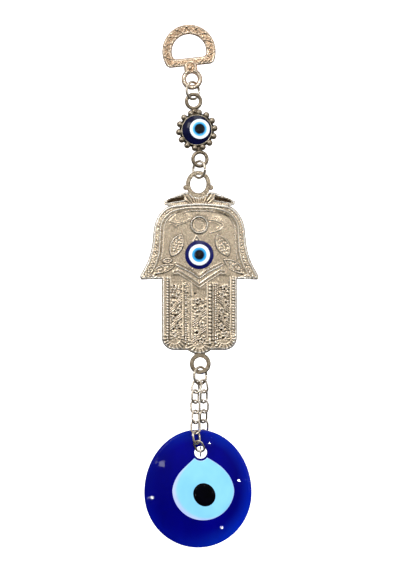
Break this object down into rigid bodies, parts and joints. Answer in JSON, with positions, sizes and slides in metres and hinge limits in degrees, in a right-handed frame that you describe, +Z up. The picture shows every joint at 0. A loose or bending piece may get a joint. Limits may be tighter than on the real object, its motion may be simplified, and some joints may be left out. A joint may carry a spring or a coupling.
{
  "type": "hamsa hand ornament",
  "caption": "Hanging hamsa hand with an eye in its palm, under a beaded eye connector and a D hanger, with a round glass eye on a doubled chain below.",
  "frame": {"origin": "inside top of the D hanger's opening, where it hangs on its nail", "axes": "+Z up, +Y towards the wall, the front faces -Y"},
  "size_m": [0.0497, 0.0106, 0.2195],
  "materials": {
    "rose_gold_casting": "satin",
    "antique_pewter": "satin",
    "champagne_casting": "satin",
    "nickel_silver_wire": "satin",
    "cobalt_glass": "gloss",
    "sky_glass": "gloss",
    "navy_glass": "gloss",
    "navy_resin": "gloss",
    "white_resin": "gloss",
    "blue_resin": "gloss",
    "black_resin": "gloss",
    "clear_glue": "matte"
  },
  "bodies": {
    "hanger": {"hanger": "rose_gold_casting"},
    "top_jump_ring": {"top_jump_ring": "nickel_silver_wire"},
    "connector": {"connector_cup": "antique_pewter", "connector_eye_glue": "clear_glue", "connector_eye_base": "navy_resin", "connector_eye_white_ring": "white_resin", "connector_eye_iris_ring": "blue_resin", "connector_eye_pupil": "black_resin"},
    "middle_jump_ring": {"middle_jump_ring": "nickel_silver_wire"},
    "hand": {"hand_plate": "champagne_casting", "palm_eye_glue": "clear_glue", "palm_eye_base": "navy_resin", "palm_eye_white_ring": "white_resin", "palm_eye_iris_ring": "blue_resin", "palm_eye_pupil": "black_resin"},
    "bottom_jump_ring": {"bottom_jump_ring": "nickel_silver_wire"},
    "front_chain_link_1": {"front_chain_link_1": "nickel_silver_wire"},
    "front_chain_link_2": {"front_chain_link_2": "nickel_silver_wire"},
    "front_chain_link_3": {"front_chain_link_3": "nickel_silver_wire"},
    "front_chain_link_4": {"front_chain_link_4": "nickel_silver_wire"},
    "front_chain_link_5": {"front_chain_link_5": "nickel_silver_wire"},
    "front_chain_link_6": {"front_chain_link_6": "nickel_silver_wire"},
    "front_chain_link_7": {"front_chain_link_7": "nickel_silver_wire"},
    "hole_chain_link": {"hole_chain_link": "nickel_silver_wire"},
    "back_chain_link_1": {"back_chain_link_1": "nickel_silver_wire"},
    "back_chain_link_2": {"back_chain_link_2": "nickel_silver_wire"},
    "back_chain_link_3": {"back_chain_link_3": "nickel_silver_wire"},
    "back_chain_link_4": {"back_chain_link_4": "nickel_silver_wire"},
    "back_chain_link_5": {"back_chain_link_5": "nickel_silver_wire"},
    "back_chain_link_6": {"back_chain_link_6": "nickel_silver_wire"},
    "back_chain_link_7": {"back_chain_link_7": "nickel_silver_wire"},
    "disc": {"glass_disc": "cobalt_glass", "glass_iris": "sky_glass", "glass_pupil": "navy_glass"}
  },
  "joints": [
    {"name": "top_ring_swing", "type": "hinge", "parent": "hanger", "child": "top_jump_ring", "pos_m": [0.00158, 0, -0.02229], "axis": [0.8192, -0.5736, 0], "range_deg": [-35, 35]},
    {"name": "connector_swing", "type": "hinge", "parent": "top_jump_ring", "child": "connector", "pos_m": [0.00193, 0, -0.02814], "axis": [0, 1, 0], "range_deg": [-20, 20]},
    {"name": "middle_ring_swing", "type": "hinge", "parent": "connector", "child": "middle_jump_ring", "pos_m": [0.00426, 0, -0.05534], "axis": [0.8192, 0.5736, 0], "range_deg": [-35, 35]},
    {"name": "hand_swing", "type": "hinge", "parent": "middle_jump_ring", "child": "hand", "pos_m": [0.00391, 0, -0.06284], "axis": [0, 1, 0], "range_deg": [-20, 20]},
    {"name": "bottom_ring_swing", "type": "hinge", "parent": "hand", "child": "bottom_jump_ring", "pos_m": [0.00473, 0, -0.14189], "axis": [0.8192, -0.5736, 0], "range_deg": [-35, 35]},
    {"name": "front_chain_link_1_swing", "type": "hinge", "parent": "bottom_jump_ring", "child": "front_chain_link_1", "pos_m": [0.00383, -0.0009, -0.14582], "axis": [0, 1, 0], "range_deg": [-12, 12]},
    {"name": "front_chain_link_2_swing", "type": "hinge", "parent": "front_chain_link_1", "child": "front_chain_link_2", "pos_m": [0.00263, -0.00144, -0.14988], "axis": [0, 1, 0], "range_deg": [-1.2, 1.2]},
    {"name": "front_chain_link_3_swing", "type": "hinge", "parent": "front_chain_link_2", "child": "front_chain_link_3", "pos_m": [0.00263, -0.00198, -0.15411], "axis": [0, 1, 0], "range_deg": [-1.2, 1.2]},
    {"name": "front_chain_link_4_swing", "type": "hinge", "parent": "front_chain_link_3", "child": "front_chain_link_4", "pos_m": [0.00273, -0.00252, -0.15835], "axis": [0, 1, 0], "range_deg": [-1.2, 1.2]},
    {"name": "front_chain_link_5_swing", "type": "hinge", "parent": "front_chain_link_4", "child": "front_chain_link_5", "pos_m": [0.00278, -0.00306, -0.16258], "axis": [0, 1, 0], "range_deg": [-1.2, 1.2]},
    {"name": "front_chain_link_6_swing", "type": "hinge", "parent": "front_chain_link_5", "child": "front_chain_link_6", "pos_m": [0.00283, -0.0036, -0.16682], "axis": [0, 1, 0], "range_deg": [-1.2, 1.2]},
    {"name": "front_chain_link_7_swing", "type": "hinge", "parent": "front_chain_link_6", "child": "front_chain_link_7", "pos_m": [0.00343, -0.0036, -0.17105], "axis": [0, 1, 0], "range_deg": [-1.2, 1.2]},
    {"name": "back_chain_link_1_swing", "type": "hinge", "parent": "bottom_jump_ring", "child": "back_chain_link_1", "pos_m": [0.00563, 0.0009, -0.14582], "axis": [0, 1, 0], "range_deg": [-12, 12]},
    {"name": "back_chain_link_2_swing", "type": "hinge", "parent": "back_chain_link_1", "child": "back_chain_link_2", "pos_m": [0.00623, 0.00144, -0.15001], "axis": [0, 1, 0], "range_deg": [-1.2, 1.2]},
    {"name": "back_chain_link_3_swing", "type": "hinge", "parent": "back_chain_link_2", "child": "back_chain_link_3", "pos_m": [0.00623, 0.00198, -0.15424], "axis": [0, 1, 0], "range_deg": [-1.2, 1.2]},
    {"name": "back_chain_link_4_swing", "type": "hinge", "parent": "back_chain_link_3", "child": "back_chain_link_4", "pos_m": [0.00613, 0.00252, -0.15848], "axis": [0, 1, 0], "range_deg": [-1.2, 1.2]},
    {"name": "back_chain_link_5_swing", "type": "hinge", "parent": "back_chain_link_4", "child": "back_chain_link_5", "pos_m": [0.00608, 0.00306, -0.16271], "axis": [0, 1, 0], "range_deg": [-1.2, 1.2]},
    {"name": "back_chain_link_6_swing", "type": "hinge", "parent": "back_chain_link_5", "child": "back_chain_link_6", "pos_m": [0.00603, 0.0036, -0.16695], "axis": [0, 1, 0], "range_deg": [-1.2, 1.2]},
    {"name": "back_chain_link_7_swing", "type": "hinge", "parent": "back_chain_link_6", "child": "back_chain_link_7", "pos_m": [0.00543, 0.0036, -0.17118], "axis": [0, 1, 0], "range_deg": [-1.2, 1.2]},
    {"name": "hole_chain_link_swing", "type": "hinge", "parent": "front_chain_link_7", "child": "hole_chain_link", "pos_m": [0.0051, -0.00178, -0.17453], "axis": [0, 1, 0], "range_deg": [-19.2, 19.2]},
    {"name": "disc_swing", "type": "hinge", "parent": "hole_chain_link", "child": "disc", "pos_m": [0.0049, 0, -0.17545], "axis": [0, 1, 0], "range_deg": [-15, 15]}
  ],
  "couplings": [
    {"joint": "front_chain_link_2_swing", "follows": "front_chain_link_1_swing", "ratio": 0.1},
    {"joint": "front_chain_link_3_swing", "follows": "front_chain_link_1_swing", "ratio": 0.1},
    {"joint": "front_chain_link_4_swing", "follows": "front_chain_link_1_swing", "ratio": 0.1},
    {"joint": "front_chain_link_5_swing", "follows": "front_chain_link_1_swing", "ratio": 0.1},
    {"joint": "front_chain_link_6_swing", "follows": "front_chain_link_1_swing", "ratio": 0.1},
    {"joint": "front_chain_link_7_swing", "follows": "front_chain_link_1_swing", "ratio": 0.1},
    {"joint": "back_chain_link_1_swing", "follows": "front_chain_link_1_swing", "ratio": 1},
    {"joint": "back_chain_link_2_swing", "follows": "front_chain_link_1_swing", "ratio": 0.1},
    {"joint": "back_chain_link_3_swing", "follows": "front_chain_link_1_swing", "ratio": 0.1},
    {"joint": "back_chain_link_4_swing", "follows": "front_chain_link_1_swing", "ratio": 0.1},
    {"joint": "back_chain_link_5_swing", "follows": "front_chain_link_1_swing", "ratio": 0.1},
    {"joint": "back_chain_link_6_swing", "follows": "front_chain_link_1_swing", "ratio": 0.1},
    {"joint": "back_chain_link_7_swing", "follows": "front_chain_link_1_swing", "ratio": 0.1},
    {"joint": "hole_chain_link_swing", "follows": "front_chain_link_1_swing", "ratio": -1.6}
  ]
}
